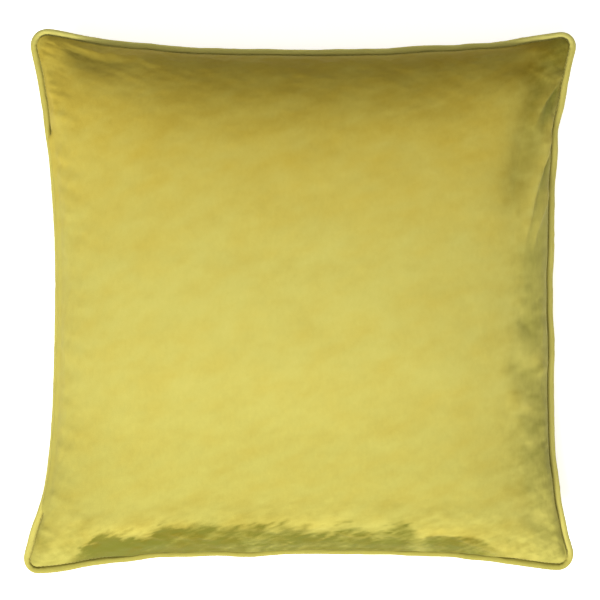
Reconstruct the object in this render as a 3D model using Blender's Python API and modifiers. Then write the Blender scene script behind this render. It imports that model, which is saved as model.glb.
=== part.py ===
"""Square throw pillow: a zipped, piped velvet cover over a filled pad, lying on its back.

Metres, +Z up. z = 0 is the surface it lies on, and the seam between front and back is level.
X runs across the pillow and Y up it. The zip runs along the left edge, under the piping.
"""

import math

import bmesh
import bpy
from mathutils import Matrix, Vector
from mathutils.geometry import interpolate_bezier

# ---------------------------------------------------------------- driving dimensions

# Outer edge of the piping in plan: bottom left, bottom right, top right and top left,
# where the sides would meet if the corners weren't rounded.
CORNERS = [
    Vector((-0.2327, -0.2250)),
    Vector((0.2310, -0.2217)),
    Vector((0.2312, 0.2242)),
    Vector((-0.2248, 0.2253)),
]
# Each side, in the order bottom, right, top, left, is drawn in between its corners by this much.
DRAW_IN = [0.0156, 0.0230, 0.0183, 0.0275]
# How late each side leaves its ear, at its first and at its second corner.
EAR_POWERS = [(2.3, 1.9), (4.2, 2.8), (2.1, 2.3), (2.0, 3.8)]
CORNER_REACH = 0.020  # a corner's rounding starts this far from where the sides would meet
PAD_CORNER_REACH = 0.080
CORNER_FULLNESS = 0.5

SEAM_Z = 0.056  # height of the seam above the surface
FRONT_CROWN = 0.074  # the face's highest point above the seam
BACK_CROWN = 0.068  # how far the back would sag below the seam if nothing bore it up
DOME_POWERS = (2.6, 0.58)  # flatness of the middle, and steepness at the seam

PIPING_D = 0.0055
STRIP_THICKNESS = 0.0007
CORD_D = 0.0034
ALLOWANCE = 0.0065  # seam allowance of the bias strip and of the panels
VELVET = 0.0009
CASING = 0.0005
THREAD_D = 0.0005
CLEARANCE = 0.0003  # between pieces that touch
PAD_INSET = 0.021  # from the outer edge to the pad's own seam
PAD_SLACK = 0.0025  # between the cover and the pad, at the crown
LABEL_SLACK = 0.0036  # between the cover and the label, further in
LABEL_CELL = (5, 1)  # the cell of the back's mesh that the label lies under

ZIP_X = -0.1942  # plane of the zip tapes
ZIP_DROP = 0.0080  # centre of the teeth below the seam
ZIP_TOP = 0.1384  # the opening's ends along Y
ZIP_BOTTOM = -0.1760
SLIT_DROP = 0.0150  # the back panel's hem below the seam, along the opening
HEM_SHARE = 0.35  # the hem's stitches, as a share of the mesh's second row from the seam
TEETH_TOP = 0.1220
TEETH_BOTTOM = -0.1500
SLIDER_CLOSED = 0.1260  # the slider's middle along Y when the zip is shut
SLIDER_LENGTH = 0.0090
SLIDER_WIDTH = 0.0080
TEETH_PITCH = 0.0040
TAB_LENGTH = 0.0220

CELLS = 16  # mesh cells along one side

# ---------------------------------------------------------------- scene and helpers

for old in list(bpy.data.objects):
    bpy.data.objects.remove(old, do_unlink=True)

PARTS = bpy.data.collections.new("throw_pillow")
CUTTERS = bpy.data.collections.new("cutters")
bpy.context.scene.collection.children.link(PARTS)
bpy.context.scene.collection.children.link(CUTTERS)


def material(name, colour, roughness, metallic=0.0):
    made = bpy.data.materials.new(name)
    made.use_nodes = True
    shader = made.node_tree.nodes["Principled BSDF"]
    shader.inputs["Base Color"].default_value = (*colour, 1.0)
    shader.inputs["Roughness"].default_value = roughness
    shader.inputs["Metallic"].default_value = metallic
    made.diffuse_color = (*colour, 1.0)
    return made


VELVET_GOLD = material("velvet", (0.48, 0.40, 0.07), 0.55)
COTTON = material("cotton_cord", (0.78, 0.75, 0.66), 0.9)
THREAD = material("thread", (0.46, 0.40, 0.10), 0.7)
TAPE = material("zip_tape", (0.44, 0.38, 0.10), 0.85)
TEETH = material("zip_teeth", (0.50, 0.44, 0.12), 0.4)
SLIDER_METAL = material("slider_metal", (0.62, 0.55, 0.30), 0.35, 1.0)
CASING_CLOTH = material("pad_casing", (0.85, 0.85, 0.83), 0.9)
FIBRE = material("pad_fibre", (0.92, 0.92, 0.90), 1.0)
LABEL = material("label_satin", (0.88, 0.88, 0.86), 0.5)


def place(obj, look, parent=None):
    """Puts a finished object in the parts collection, with its material and its parent."""
    for home in list(obj.users_collection):
        home.objects.unlink(obj)
    PARTS.objects.link(obj)
    obj.data.materials.clear()
    obj.data.materials.append(look)
    obj.parent = parent
    return obj


def new_object(name, bm):
    mesh = bpy.data.meshes.new(name)
    bm.to_mesh(mesh)
    bm.free()
    return bpy.data.objects.new(name, mesh)


def smooth(obj):
    obj.data.shade_smooth()
    return obj


def thicken(obj, thickness, offset):
    shell = obj.modifiers.new("thickness", "SOLIDIFY")
    shell.thickness = thickness
    shell.offset = offset
    shell.use_even_offset = True
    return obj


def box(name, low, high):
    """A closed box between two corners."""
    bm = bmesh.new()
    bmesh.ops.create_cube(bm, size=1.0)
    for vert in bm.verts:
        for axis in range(3):
            vert.co[axis] = high[axis] if vert.co[axis] > 0 else low[axis]
    return new_object(name, bm)


def cutter(obj, parent=None):
    """Hides an operand of a Boolean from the parts."""
    CUTTERS.objects.link(obj)
    obj.hide_render = True
    obj.display_type = "WIRE"
    obj.parent = parent
    return obj


def boolean(obj, other, operation):
    step = obj.modifiers.new(operation.lower(), "BOOLEAN")
    step.operation = operation
    step.solver = "EXACT"
    step.object = other


def add_spline(curve, points, closed=True):
    spline = curve.splines.new("POLY")
    spline.points.add(len(points) - 1)
    for slot, point in zip(spline.points, points):
        slot.co = (point[0], point[1], point[2] if len(point) > 2 else 0.0, 1.0)
    spline.use_cyclic_u = closed


def flat_solid(name, outlines, low, high):
    """A closed plate between two local heights; outlines after the first are holes."""
    curve = bpy.data.curves.new(name, "CURVE")
    curve.dimensions = "2D"
    curve.fill_mode = "BOTH"
    curve.extrude = (high - low) / 2
    for outline_points in outlines:
        add_spline(curve, outline_points)
    drawn = bpy.data.objects.new(name + "_outline", curve)
    bpy.context.scene.collection.objects.link(drawn)
    graph = bpy.context.evaluated_depsgraph_get()
    mesh = bpy.data.meshes.new_from_object(drawn.evaluated_get(graph))
    bpy.data.objects.remove(drawn)
    bm = bmesh.new()
    bm.from_mesh(mesh)
    bpy.data.meshes.remove(mesh)
    bmesh.ops.remove_doubles(bm, verts=bm.verts, dist=1e-6)
    bmesh.ops.translate(bm, verts=bm.verts, vec=(0, 0, (low + high) / 2))
    bmesh.ops.recalc_face_normals(bm, faces=bm.faces)
    return new_object(name, bm)


def tube(name, points, diameter, closed=False, rounding=1):
    curve = bpy.data.curves.new(name, "CURVE")
    curve.dimensions = "3D"
    curve.bevel_depth = diameter / 2
    curve.bevel_resolution = rounding
    curve.use_fill_caps = not closed
    add_spline(curve, points, closed)
    return bpy.data.objects.new(name, curve)


def rounded(points, radius, steps=3):
    """A closed outline with its corners rounded by arcs."""
    out = []
    count = len(points)
    for i, point in enumerate(points):
        corner = Vector(point)
        before = Vector(points[i - 1]) - corner
        after = Vector(points[(i + 1) % count]) - corner
        reach = min(radius, before.length / 2.2, after.length / 2.2)
        start = corner + before.normalized() * reach
        end = corner + after.normalized() * reach
        out += interpolate_bezier(
            start, start.lerp(corner, 0.55), end.lerp(corner, 0.55), end, steps + 1
        )
    return out


# ---------------------------------------------------------------- the pillow's plan

GRADED = [0.5 - 0.5 * math.cos(math.pi * i / CELLS) for i in range(CELLS + 1)]


def side_length(side):
    return (CORNERS[(side + 1) % 4] - CORNERS[side]).length


def side_point(side, t):
    """A point along one side, drawn in between its two corners."""
    start = CORNERS[side]
    along = CORNERS[(side + 1) % 4] - start
    inward = Vector((-along.y, along.x)).normalized()
    power = EAR_POWERS[side][t > 0.5]
    return start + along * t + inward * DRAW_IN[side] * (1 - abs(2 * t - 1) ** power)


def corner_arc(corner, half, reach):
    """Half of a corner's rounding: 0 leads up to its middle, 1 leads away from it."""
    before = side_point(corner - 1, 1 - reach / side_length(corner - 1))
    after = side_point(corner, reach / side_length(corner))
    tip = CORNERS[corner]
    arc = interpolate_bezier(
        before, before.lerp(tip, CORNER_FULLNESS), after.lerp(tip, CORNER_FULLNESS), after, 17
    )
    return arc[8:] if half else arc[:9]


def resample(points, fractions):
    """Points at these fractions of a polyline's length."""
    reached = [0.0]
    for a, b in zip(points, points[1:]):
        reached.append(reached[-1] + (b - a).length)
    out = []
    for fraction in fractions:
        wanted = fraction * reached[-1]
        i = next(k for k in range(1, len(reached)) if reached[k] >= wanted - 1e-12)
        share = (wanted - reached[i - 1]) / (reached[i] - reached[i - 1])
        out.append(points[i - 1].lerp(points[i], share))
    return out


def closed_edge(reach):
    """The closed outer edge, anticlockwise, from the bottom left corner's middle."""
    loop = []
    for side in range(4):
        margin = reach / side_length(side)
        middle = [side_point(side, margin + (1 - 2 * margin) * i / 60) for i in range(61)]
        ahead = corner_arc((side + 1) % 4, 0, reach)
        loop += resample(corner_arc(side, 1, reach)[:-1] + middle + ahead[1:], GRADED)[:-1]
    return loop


PIPED_EDGE = closed_edge(CORNER_REACH)
PAD_EDGE = closed_edge(PAD_CORNER_REACH)


def outline(inset, edge=PIPED_EDGE):
    """A closed edge moved inward by a distance, square to itself."""
    moved = []
    count = len(edge)
    for i, point in enumerate(edge):
        before = (point - edge[i - 1]).normalized()
        after = (edge[(i + 1) % count] - point).normalized()
        along = (before + after).normalized()
        inward = Vector((-along.y, along.x))
        moved.append(point + inward * inset / along.dot(after))
    return moved


def rise(i, j):
    """0 along the seam to 1 in the middle of the pillow."""
    flatness, steepness = DOME_POWERS
    share = 1.0
    for t in (GRADED[i], GRADED[j]):
        share *= (1 - abs(2 * t - 1) ** flatness) ** steepness
    return share


def dome_point(ring, i, j, foot, crown, side):
    """A point of a dome over the plan `ring`: side is 1 for the front, -1 for the back."""
    u, v = GRADED[i], GRADED[j]
    bottom, right = ring[i], ring[CELLS + j]
    top, left = ring[3 * CELLS - i], ring[(4 * CELLS - j) % (4 * CELLS)]
    plan = bottom * (1 - v) + top * v + left * (1 - u) + right * u
    plan -= (ring[0] * (1 - u) + ring[CELLS] * u) * (1 - v)
    plan -= (ring[3 * CELLS] * (1 - u) + ring[2 * CELLS] * u) * v
    return Vector((*plan, SEAM_Z + side * (foot + (crown - foot) * rise(i, j))))


def dome(ring, foot, crown, side, floor):
    """An open dome that springs from a ring at the seam and never goes below the floor."""
    bm = bmesh.new()
    bmesh.ops.create_grid(bm, x_segments=CELLS, y_segments=CELLS, size=1.0)
    for vert in bm.verts:
        i = round((vert.co.x + 1) / 2 * CELLS)
        j = round((vert.co.y + 1) / 2 * CELLS)
        vert.co = dome_point(ring, i, j, foot, crown, side)
        vert.co.z = max(vert.co.z, floor)
    if side < 0:
        bmesh.ops.reverse_faces(bm, faces=bm.faces)
    return bm


def fold_edge(bm, inset, lip, side):
    """Turns a dome's edge over at the seam, then in by the seam allowance."""
    for ring, height in ((outline(inset + CLEARANCE), lip), (outline(inset + ALLOWANCE), lip)):
        rim = [edge for edge in bm.edges if edge.is_boundary]
        made = bmesh.ops.extrude_edge_only(bm, edges=rim)["geom"]
        for vert in (item for item in made if isinstance(item, bmesh.types.BMVert)):
            nearest = min(range(len(ring)), key=lambda k: (ring[k] - vert.co.xy).length)
            vert.co = Vector((*ring[nearest], SEAM_Z + side * height))


# ---------------------------------------------------------------- cover

PANEL_INSET = PIPING_D + CLEARANCE
STRIP_HALF = STRIP_THICKNESS + CLEARANCE / 2
LIP = STRIP_HALF + CLEARANCE  # the folded edge's outer face, from the seam's middle
FOOT = LIP + 2 * VELVET + 2 * CLEARANCE  # where the dome starts, above its folded edge


def panel(name, crown, side):
    bm = dome(outline(PANEL_INSET), FOOT, crown, side, 0.0)
    fold_edge(bm, PANEL_INSET, LIP, side)
    bmesh.ops.recalc_face_normals(bm, faces=bm.faces)
    obj = smooth(new_object(name, bm))
    outward = max(obj.data.polygons, key=lambda face: face.area).normal.z * side
    return place(thicken(obj, VELVET, -1.0 if outward > 0 else 1.0), VELVET_GOLD)


def make_front_panel():
    panel("front_panel", FRONT_CROWN, 1)


def make_back_panel():
    """The back panel, with its edge cut away along the zip."""
    obj = panel("back_panel", BACK_CROWN, -1)
    low = (CORNERS[0].x, ZIP_BOTTOM, SEAM_Z - SLIT_DROP)
    high = (ZIP_X + 2 * ALLOWANCE, ZIP_TOP, SEAM_Z + SLIT_DROP)
    boolean(obj, cutter(box("zip_slit", low, high)), "DIFFERENCE")


def strip_section():
    """The bias strip's section: round the cord, and back as two layers with a slit between."""
    outer, inner = PIPING_D / 2, PIPING_D / 2 - STRIP_THICKNESS
    end = PANEL_INSET + ALLOWANCE - PIPING_D / 2
    slit = CLEARANCE / 2
    outer_start = math.asin(STRIP_HALF / outer)
    inner_start = math.asin(slit / inner)
    points = [Vector((end, STRIP_HALF))]
    for i in range(9):
        angle = outer_start + (2 * math.pi - 2 * outer_start) * i / 8
        points.append(Vector((outer * math.cos(angle), outer * math.sin(angle))))
    points += [Vector((end, -STRIP_HALF)), Vector((end, -slit))]
    for i in range(8, -1, -1):
        angle = inner_start + (2 * math.pi - 2 * inner_start) * i / 8
        points.append(Vector((inner * math.cos(angle), inner * math.sin(angle))))
    return points + [Vector((end, slit))]


def make_piping_cover():
    """The strip's section carried round the outline."""
    section = bpy.data.curves.new("strip_section", "CURVE")
    section.dimensions = "2D"
    section.fill_mode = "NONE"
    add_spline(section, strip_section()[::-1])
    strip = bpy.data.curves.new("piping_cover", "CURVE")
    strip.dimensions = "2D"
    strip.fill_mode = "NONE"
    strip.bevel_mode = "OBJECT"
    strip.bevel_object = cutter(bpy.data.objects.new("strip_section", section))
    add_spline(strip, outline(PIPING_D / 2))
    cover = place(bpy.data.objects.new("piping_cover", strip), VELVET_GOLD)
    cover.location.z = SEAM_Z


def make_piping_cord():
    path = [(*spot, SEAM_Z) for spot in outline(PIPING_D / 2)]
    place(tube("piping_cord", path, CORD_D, closed=True), COTTON)


def make_seam_thread():
    """The line of stitches that holds the allowances together, inside the cover."""
    height = SEAM_Z + LIP + VELVET + CLEARANCE + THREAD_D / 2
    path = [(*spot, height) for spot in outline(PANEL_INSET + 2.5 * VELVET)]
    place(tube("seam_thread", path, THREAD_D, closed=True, rounding=0), THREAD)


# ---------------------------------------------------------------- pad

def make_pad_casings():
    """The two sheets of the pad's casing, which meet at its rim."""
    foot = CLEARANCE / 2
    for name, side, crown in (
        ("pad_casing_front", 1, FRONT_CROWN - VELVET - PAD_SLACK),
        ("pad_casing_back", -1, BACK_CROWN - VELVET - PAD_SLACK),
    ):
        floor = VELVET + PAD_SLACK
        bm = dome(outline(PAD_INSET, PAD_EDGE), foot, crown, side, floor)
        bmesh.ops.recalc_face_normals(bm, faces=bm.faces)
        obj = smooth(new_object(name, bm))
        outward = max(obj.data.polygons, key=lambda face: face.area).normal.z * side
        place(thicken(obj, CASING, -1.0 if outward > 0 else 1.0), CASING_CLOTH)


def make_pad_filling():
    """The fibre filling, one soft block inside the casing."""
    ring = outline(PAD_INSET + 5 * CASING, PAD_EDGE)
    gap = VELVET + PAD_SLACK + 3 * CASING
    bm = dome(ring, 0.0, FRONT_CROWN - gap, 1, 0.0)
    under = dome(ring, 0.0, BACK_CROWN - gap, -1, gap)
    joined = bpy.data.meshes.new("pad_back")
    under.to_mesh(joined)
    under.free()
    bm.from_mesh(joined)
    bpy.data.meshes.remove(joined)
    bmesh.ops.remove_doubles(bm, verts=bm.verts, dist=1e-6)
    place(smooth(new_object("pad_filling", bm)), FIBRE)


def make_pad_closing_stitch():
    """The thread that closes the pad, along part of its bottom side."""
    ring = outline(PAD_INSET - THREAD_D / 2 - 2 * CLEARANCE, PAD_EDGE)
    span = ring[5 : CELLS - 4]
    place(tube("pad_closing_stitch", [(*spot, SEAM_Z) for spot in span], THREAD_D), THREAD)


def make_care_label():
    """A blank label caught in the bottom seam, lying between the cover and the pad."""
    ring = outline(PANEL_INSET + ALLOWANCE)
    crown = BACK_CROWN - LABEL_SLACK
    bm = bmesh.new()
    bmesh.ops.create_grid(bm, x_segments=1, y_segments=1, size=1.0)
    for vert in bm.verts:
        i, j = LABEL_CELL[0] + (vert.co.x > 0), LABEL_CELL[1] + (vert.co.y > 0)
        vert.co = dome_point(ring, i, j, FOOT, crown, -1)
    place(thicken(new_object("care_label", bm), CASING, 0.0), LABEL)


# ---------------------------------------------------------------- zip
# Local axes of every zip piece: x along the zip (up the pillow), y up, z into the pillow.

TAPE_THICKNESS = 0.0006
TAPE_GAP = 0.0028  # between the two tapes' edges
TAPE_TURN = 0.0040  # how far the upper tape turns in under the piping's allowance
TAPE_ENDS = (ZIP_BOTTOM + 0.0130, ZIP_TOP - 0.0012)
TAPE_BEND = SLIDER_WIDTH / 2 + 0.0004  # the lower tape turns in here, clear of the slider
LOWER_TURNS = ((0.0018, 0.0062), (0.0070, 0.0100))  # its way on, down and in, behind the hem
TEETH_INNER = TAPE_THICKNESS / 2 + CLEARANCE  # the teeth stand off the tape outwards
TEETH_OUTER = TEETH_INNER + 0.0018
SPINE = (0.0016, 0.0026)  # each row's spine, from the zip's centre line
TOOTH_TIP = -0.0010
TOOTH_WIDTH = 0.0013
STOP_LENGTH = 0.0018
STOP_GAP = 0.0009
TACK = 0.0012
TACK_TOP = SLIDER_CLOSED + SLIDER_LENGTH / 2 + 0.0045
TACK_BOTTOM = TEETH_BOTTOM - 0.0055

PLATE = 0.0011  # thickness of the slider's two plates
PLATE_OUT = TEETH_OUTER + CLEARANCE  # the outer plate's inner face
PLATE_IN = TAPE_THICKNESS / 2 + CLEARANCE  # the inner plate's outer face
SHIELD_ROUNDING = 0.0016
SHIELD_TAPER = 0.85
RAIL_SETBACK = (0.0012, 0.0016)  # the rails stop short of the plates' ends
WEDGE = (-0.0002, 0.0022, 0.0041)  # tip, shoulder and blunt end of the wedge, along the slider
WEDGE_HALF = 0.0009
TAB_AXIS_OUT = PLATE_OUT + PLATE + 0.0011  # the pull tab's pivot, outward of the tapes
BRIDGE_HALF = 0.0038
BRIDGE_LEG = 0.0008
BRIDGE_EASE = 0.0006  # how far below its top the bridge's shoulders round off
BRIDGE_RISE = (0.0009, 0.0017)  # the bridge's inner and outer height over the pivot
BRIDGE_WIDTH = 0.0014
TAB_THICKNESS = 0.0010
TAB_ARM = 0.0028  # half the tab's width beside the bridge
TAB_NECK = 0.0022
TAB_EYE = (-0.0005, -0.0064, 0.0017)  # the eye's near end, far end and half width
TAB_HOLE = (0.0072, 0.0030, 0.0011)  # the hole's two ends from the tab's tip, and half width

zip_frame = bpy.data.objects.new("zip_frame", None)
CUTTERS.objects.link(zip_frame)
zip_frame.matrix_world = Matrix((
    (0, 0, 1, ZIP_X),
    (1, 0, 0, 0),
    (0, 1, 0, SEAM_Z - ZIP_DROP),
    (0, 0, 0, 1),
))
slider_frame = bpy.data.objects.new("slider_frame", None)
CUTTERS.objects.link(slider_frame)
slider_frame.parent = zip_frame
slider_frame.location = (SLIDER_CLOSED, 0, 0)


def make_tape(name, section):
    """A straight strip of tape with the given section, drawn in local y and z."""
    bm = bmesh.new()
    start = [bm.verts.new((TAPE_ENDS[0], y, z)) for y, z in section]
    line = [bm.edges.new(pair) for pair in zip(start, start[1:])]
    made = bmesh.ops.extrude_edge_only(bm, edges=line)["geom"]
    for vert in (item for item in made if isinstance(item, bmesh.types.BMVert)):
        vert.co.x = TAPE_ENDS[1]
    place(thicken(new_object(name, bm), TAPE_THICKNESS, 0.0), TAPE, zip_frame)


def make_tapes():
    """One tape turns in under the piping's allowance; the other runs down inside the back panel."""
    edge = TAPE_GAP / 2
    shelf = ZIP_DROP - LIP - TAPE_THICKNESS / 2 - CLEARANCE
    make_tape("zip_tape_upper", [(edge, 0), (shelf, 0), (shelf, TAPE_TURN)])
    turns = [(-TAPE_BEND - down, inward) for down, inward in LOWER_TURNS]
    make_tape("zip_tape_lower", [(-edge, 0), (-TAPE_BEND, 0), *turns])


def comb(side):
    """One row of teeth on its spine; side 1 is the upper row, and -1 the lower."""
    back, root = side * SPINE[1], side * SPINE[0]
    tip = side * TOOTH_TIP
    half = TOOTH_WIDTH / 2
    points = [(TEETH_BOTTOM, back), (TEETH_BOTTOM, root)]
    first = TEETH_BOTTOM + (0.75 if side > 0 else 0.25) * TEETH_PITCH
    for i in range(int((TEETH_TOP - TEETH_BOTTOM) / TEETH_PITCH)):
        x = first + i * TEETH_PITCH
        points += [(x - half, root), (x - half, tip), (x + half, tip), (x + half, root)]
    return points + [(TEETH_TOP, root), (TEETH_TOP, back)]


def make_teeth():
    for name, side in (("zip_teeth_upper", 1), ("zip_teeth_lower", -1)):
        row = flat_solid(name, [comb(side)], -TEETH_OUTER, -TEETH_INNER)
        place(row, TEETH, zip_frame)


def make_stops():
    """Two top stops beyond the shut slider, and one bottom stop across both tapes."""
    near = SLIDER_CLOSED + SLIDER_LENGTH / 2 + STOP_GAP
    for name, side in (("zip_top_stop_upper", 1), ("zip_top_stop_lower", -1)):
        edges = sorted((side * SPINE[0], side * (SPINE[1] + CLEARANCE)))
        low = (near, edges[0], -TEETH_OUTER)
        place(box(name, low, (near + STOP_LENGTH, edges[1], -TEETH_INNER)), TEETH, zip_frame)
    far = TEETH_BOTTOM - 2 * CLEARANCE
    low = (far - STOP_LENGTH, -SPINE[1], -TEETH_OUTER)
    place(box("zip_bottom_stop", low, (far, SPINE[1], -TEETH_INNER)), TEETH, zip_frame)


def make_end_tacks():
    """A bar of stitches across both tapes beyond each end of the teeth."""
    reach = SLIDER_WIDTH / 2
    for name, x in (("zip_end_tack_top", TACK_TOP), ("zip_end_tack_bottom", TACK_BOTTOM)):
        low = (x - TACK / 2, -reach, -TEETH_INNER - TACK)
        bar = box(name, low, (x + TACK / 2, reach, -TEETH_INNER))
        bevel = bar.modifiers.new("soft_edges", "BEVEL")
        bevel.width = TACK / 4
        bevel.segments = 1
        place(bar, THREAD, zip_frame)


def hem_run():
    """Points on the back panel's left side, just under the slit."""
    ring = outline(PANEL_INSET)
    row = []
    for j in range(CELLS + 1):
        near_seam = dome_point(ring, 1, j, FOOT, BACK_CROWN, -1)
        further_in = dome_point(ring, 2, j, FOOT, BACK_CROWN, -1)
        down = further_in - near_seam
        outward = Vector((down.z, 0, -down.x)).normalized()
        if ZIP_BOTTOM < near_seam.y < ZIP_TOP:
            row.append(near_seam + down * HEM_SHARE + outward * (THREAD_D / 2 + 2 * CLEARANCE))
    return row


def make_hem_stitch():
    """The thread that holds the back panel's hem to the lower tape."""
    place(tube("zip_hem_stitch", hem_run(), THREAD_D), THREAD)


def make_slider():
    """Two plates joined by a wedge that parts the teeth, with a bridge for the pull tab."""
    front = SLIDER_LENGTH / 2
    wide = SLIDER_WIDTH / 2
    narrow = wide * SHIELD_TAPER
    shield = rounded(
        [(-front, -narrow), (front, -wide), (front, wide), (-front, narrow)], SHIELD_ROUNDING
    )
    body = flat_solid("zip_slider", [shield], -PLATE_OUT - PLATE, -PLATE_OUT)
    inner = flat_solid("slider_inner_plate", [shield], PLATE_IN, PLATE_IN + PLATE)
    tip, shoulder, blunt = WEDGE
    arrow = [
        (tip, 0), (shoulder, -WEDGE_HALF), (blunt, -WEDGE_HALF), (blunt, WEDGE_HALF),
        (shoulder, WEDGE_HALF),
    ]
    wedge = flat_solid("slider_wedge", [arrow], -PLATE_OUT - PLATE / 2, PLATE_IN + PLATE / 2)
    operands = [inner, wedge]
    for side in (-1, 1):
        wall = sorted((side * (SPINE[1] + CLEARANCE), side * (narrow - CLEARANCE)))
        low = (-front + RAIL_SETBACK[0], wall[0], -PLATE_OUT - PLATE / 2)
        high = (front - RAIL_SETBACK[1], wall[1], -PLATE_IN - CLEARANCE)
        operands.append(box("slider_rail", low, high))
    for other in (*operands, slider_bridge()):
        boolean(body, cutter(other, slider_frame), "UNION")
    place(body, SLIDER_METAL, slider_frame)


def slider_bridge():
    """The arch that the pull tab's eye hangs on, drawn side on and stood up."""
    foot = PLATE_OUT + PLATE / 3
    inside, outside = (TAB_AXIS_OUT + rise_out for rise_out in BRIDGE_RISE)
    half, leg = BRIDGE_HALF, BRIDGE_LEG
    arch = [
        (-half, foot), (-half + leg / 2, outside - BRIDGE_EASE), (-half + leg, outside),
        (half - leg, outside), (half - leg / 2, outside - BRIDGE_EASE), (half, foot),
        (half - leg, foot), (half - 1.2 * leg, inside), (-half + 1.2 * leg, inside), (-half + leg, foot),
    ]
    bridge = flat_solid("slider_bridge", [arch], -BRIDGE_WIDTH / 2, BRIDGE_WIDTH / 2)
    bridge.data.transform(Matrix.Rotation(-math.pi / 2, 4, "X"))
    return bridge


def make_pull_tab():
    """A flat tab on the slider's bridge. Its origin is on its pivot, and it points down the zip."""
    near, far, eye = TAB_EYE
    tip, arm = -TAB_LENGTH, TAB_ARM
    half_outline = [
        (-near, arm), (far - 0.0006, arm), (far - 0.0031, TAB_NECK), (tip + 0.003, arm + 0.0002),
        (tip, arm * 0.6),
    ]
    mirrored = [(x, -y) for x, y in reversed(half_outline)]
    slot = [(near, -eye), (near, eye), (far, eye), (far, -eye)]
    start, end, half = TAB_HOLE
    hole = rounded(
        [(tip + start, -half), (tip + start, half), (tip + end, half), (tip + end, -half)], half
    )
    outlines = [rounded(half_outline + mirrored, 0.0012), slot, hole]
    tab = flat_solid("zip_pull_tab", outlines, -TAB_THICKNESS / 2, TAB_THICKNESS / 2)
    place(tab, SLIDER_METAL, slider_frame)
    tab.location = (0, 0, -TAB_AXIS_OUT)


make_front_panel()
make_back_panel()
make_piping_cover()
make_piping_cord()
make_seam_thread()
make_pad_casings()
make_pad_filling()
make_pad_closing_stitch()
make_care_label()
make_tapes()
make_teeth()
make_stops()
make_end_tacks()
make_hem_stitch()
make_slider()
make_pull_tab()
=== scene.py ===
"""Looks of a square velvet cushion with a piped edge and a zip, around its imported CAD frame.

Metres, +Z up. The cushion lies on its back on z = 0; the seam round it is level, at SEAM_Z.
Grids of points are arrays [row, column, xyz], with rows from the bottom edge to the top one.
"""

import math

import bpy
import numpy as np
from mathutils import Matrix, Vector, noise
from mathutils.bvhtree import BVHTree
from mathutils.geometry import interpolate_bezier


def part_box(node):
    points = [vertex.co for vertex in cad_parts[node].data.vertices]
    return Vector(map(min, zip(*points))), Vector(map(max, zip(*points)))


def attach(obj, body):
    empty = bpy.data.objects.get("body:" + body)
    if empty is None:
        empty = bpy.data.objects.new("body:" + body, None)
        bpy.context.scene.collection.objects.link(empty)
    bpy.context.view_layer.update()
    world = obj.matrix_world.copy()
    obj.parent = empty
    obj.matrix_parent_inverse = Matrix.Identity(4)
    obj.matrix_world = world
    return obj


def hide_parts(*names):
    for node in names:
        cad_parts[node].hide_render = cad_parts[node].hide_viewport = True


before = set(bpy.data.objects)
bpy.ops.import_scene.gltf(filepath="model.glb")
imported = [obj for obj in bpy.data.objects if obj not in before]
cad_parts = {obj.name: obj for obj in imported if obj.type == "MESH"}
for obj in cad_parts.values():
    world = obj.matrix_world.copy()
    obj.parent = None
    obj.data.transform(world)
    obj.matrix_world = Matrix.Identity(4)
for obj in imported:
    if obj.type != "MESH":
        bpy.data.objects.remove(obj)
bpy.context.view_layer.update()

# ---------------------------------------------------------------- driving dimensions

# Outer edge of the piping in plan: where the sides would meet, from the bottom left
# anticlockwise, and how far each side (bottom, right, top, left) is drawn in between them.
CORNERS = [
    Vector((-0.2327, -0.2250)),
    Vector((0.2310, -0.2217)),
    Vector((0.2312, 0.2242)),
    Vector((-0.2248, 0.2253)),
]
TIPS = np.array([tuple(c) for c in CORNERS])
DRAW_IN = [0.0156, 0.0230, 0.0183, 0.0275]
EAR_POWERS = [(2.3, 1.9), (4.2, 2.8), (2.1, 2.3), (2.0, 3.8)]
CORNER_REACH = 0.020
PAD_CORNER_REACH = 0.080
CORNER_FULLNESS = 0.5

SEAM_Z = 0.056
PIPING_D = 0.0055
STRIP_THICKNESS = 0.0007
CORD_D = 0.0034
ALLOWANCE = 0.0065
VELVET = 0.0009
CASING = 0.0005
CLEARANCE = 0.0003
PANEL_INSET = PIPING_D + CLEARANCE
LIP = STRIP_THICKNESS + 1.5 * CLEARANCE  # the turned-in allowance, from the seam's middle
FOOT = LIP + 2 * VELVET + 2 * CLEARANCE  # where the domes spring, above and below the seam
PAD_INSET = 0.021
PAD_SLACK = 0.0035

ZIP_TOP = 0.1384  # ends of the zip's opening along Y
ZIP_BOTTOM = -0.1760
ZIP_END_EASE = 0.010
SLIT_DROP = 0.0150  # the back panel's hem below the seam, along the opening

CUT_SIDE = 0.452  # the panels' flat side, from seam to seam
CLOTH_CELLS = 100  # simulated cells along a side; the finished panel has twice as many
EDGE_CROWDING = 0.68  # how much closer together the cells are at the seam
DOME_POWERS = (2.6, 0.58)
FRONT_CROWN = 0.0735
BACK_CROWN = 0.066

RNG = np.random.default_rng(7)

# ---------------------------------------------------------------- the outline


def side_length(side):
    return (CORNERS[(side + 1) % 4] - CORNERS[side]).length


def side_point(side, t):
    """A point along one side, drawn in between its two corners."""
    start = CORNERS[side]
    along = CORNERS[(side + 1) % 4] - start
    inward = Vector((-along.y, along.x)).normalized()
    power = EAR_POWERS[side][t > 0.5]
    return start + along * t + inward * DRAW_IN[side] * (1 - abs(2 * t - 1) ** power)


def corner_arc(corner, half, reach):
    """Half of a corner's rounding: 0 leads up to its middle, 1 leads away from it."""
    before = side_point(corner - 1, 1 - reach / side_length(corner - 1))
    after = side_point(corner, reach / side_length(corner))
    tip = CORNERS[corner]
    arc = interpolate_bezier(
        before, before.lerp(tip, CORNER_FULLNESS), after.lerp(tip, CORNER_FULLNESS), after, 33
    )
    return arc[16:] if half else arc[:17]


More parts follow.
